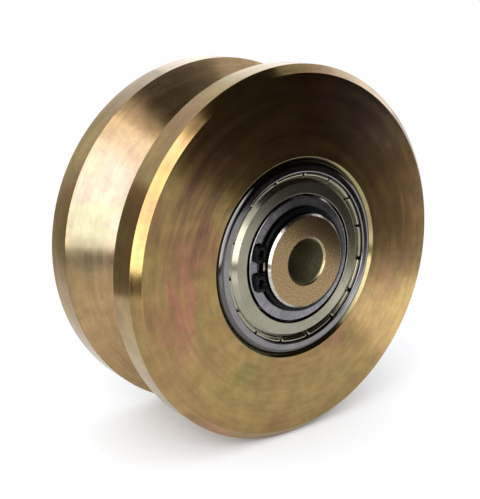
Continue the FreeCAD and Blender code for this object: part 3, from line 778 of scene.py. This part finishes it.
def lying(outline):
    # Corners of a sheet of paper, given in plan, just above the floor
    return [(x, y, floorHeight + 0.001) for x, y in outline]


reach = stage["reach"]
floorCorners = [(-reach, -reach), (reach, -reach), (reach, reach), (-reach, reach)]
addPlate("floor", [(x, y, floorHeight) for x, y in floorCorners], floorMaterial(stage), False)

# What the polished metal mirrors: colour and brightness of each card
finishes = {
    "darkCloth": ("#2b2420", 0.85), "greyCard": ("#8a8074", 1.0), "whiteCard": ("#ffffff", 1.8),
    "hotCard": ("#ffffff", 5.0), "paleCard": ("#ffffff", 1.6), "brightSheet": ("#ffffff", 2.2),
}
cardMaterials = {name: cardMaterial(name, *finish) for name, finish in finishes.items()}
# Dark cloth stands right of the camera, from the wheel's side to far in front, and roofs it over.
# Its posts are given in plan, and one that starts above the floor lets the paper show below it.
right, bend, front, left = (0.186, -0.144), (0.116, -0.127), (0.250, -0.75), (-0.15, -0.75)
sideX, clothTop, roofTop, sideFoot = 0.186, 0.45, 0.75, 0.035
cards = {
    "crossCloth": ("darkCloth", [
        (*right, floorHeight), (*bend, floorHeight), (*bend, clothTop), (*right, clothTop)]),
    "sideCloth": ("darkCloth", [
        (*right, sideFoot), (sideX, -0.022, sideFoot), (sideX, -0.078, 0.27), (*right, clothTop)]),
    "rightCloth": ("darkCloth", [
        (*bend, -0.046), (*front, -0.030), (*front, roofTop), (*bend, clothTop)]),
    "frontCloth": ("darkCloth", [
        (*front, floorHeight), (*left, floorHeight), (*left, roofTop), (*front, roofTop)]),
    "topCloth": ("darkCloth", [
        (*front, roofTop), (*left, roofTop), (-0.135, -0.02, 0.42), (0.26, -0.03, clothTop)]),
    "leftPost": ("darkCloth", upright(0.19, 213, 0.04, floorHeight, -0.02)),
    "leftStrip": ("greyCard", upright(0.20, 215, 0.30, floorHeight, -0.022)),
    "backCard": ("greyCard", [
        (-0.090, 0.100, floorHeight), (-0.25, 0.100, floorHeight),
        (-0.25, 0.100, 0.07), (-0.090, 0.100, 0.07)]),
    "lampTop": ("hotCard", upright(0.37, 233, 0.12, 0.29, 0.39)),
    "lampCrown": ("hotCard", upright(0.37, 225.5, 0.125, 0.36, 0.55)),
    "sideWindow": ("paleCard", upright(0.50, 18, 0.36, 0.09, 0.42)),
    "backWindow": ("paleCard", upright(0.50, 54, 0.28, 0.09, 0.33)),
    "rightWindow": ("paleCard", [
        (sideX, -0.140, floorHeight), (sideX, -0.03, floorHeight),
        (sideX, -0.03, sideFoot), (sideX, -0.140, sideFoot)]),
    "rightSheet": ("brightSheet", lying(
        [(0.050, -0.030), (0.095, -0.110), (0.30, -0.06), (0.15, -0.027)])),
    "frontSheet": ("whiteCard", lying(
        [(-0.05, -0.10), (-0.155, -0.09), (-0.165, -0.20), (-0.06, -0.22)])),
}
for name, (finish, corners) in cards.items():
    addPlate(name, corners, cardMaterials[finish], True)


def addLamp(name, place, width, height, radiance):
    # A soft lamp that faces the wheel from a point at its own height. Its power is
    # radiance * pi * area.
    light = bpy.data.lights.new(name, "AREA")
    light.shape = "RECTANGLE"
    light.size, light.size_y = width, height
    light.energy = radiance * math.pi * width * height
    lamp = bpy.data.objects.new(name, light)
    lamp.location = Vector(place)
    lamp.rotation_euler = Vector((place[0], place[1], 0)).to_track_quat("Z", "Y").to_euler()
    bpy.context.scene.collection.objects.link(lamp)


addLamp("softbox", (-0.262, -0.302, 0.175), 0.20, 0.45, 2.7)
addLamp("leftLamp", (-0.355, -0.185, 0.175), 0.11, 0.45, 5.5)

world = bpy.data.worlds.new("whiteRoom")
bpy.context.scene.world = world
world.use_nodes = True
worldTree = world.node_tree
worldTree.nodes.clear()
level = node(worldTree, "ShaderNodeMapRange", {
    "Value": seenOrReflected(worldTree), "To Min": stage["ambient"], "To Max": 1.0})
glow = node(worldTree, "ShaderNodeBackground", {"Color": (1, 1, 1, 1), "Strength": level})
node(worldTree, "ShaderNodeOutputWorld", {"Surface": glow})

# Where the photo was taken from, worked out from the wheel's edges in it
view = {"place": (-0.151144, -0.196118, 0.065248), "back": (-0.5820, -0.7695, 0.2629), "lens": 66.105}
cameraData = bpy.data.cameras.new("photoCamera")
cameraData.lens = view["lens"]
cameraData.clip_start = 0.01
camera = bpy.data.objects.new("photoCamera", cameraData)
back = Vector(view["back"]).normalized()
sideways = Vector((0, 0, 1)).cross(back).normalized()
upwards = back.cross(sideways)
turn = Matrix((sideways, upwards, back)).transposed().to_4x4()
camera.matrix_world = Matrix.Translation(Vector(view["place"])) @ turn
bpy.context.scene.collection.objects.link(camera)
bpy.context.scene.camera = camera
bpy.context.scene.view_settings.view_transform = "Standard"
print("stage, light and camera set")
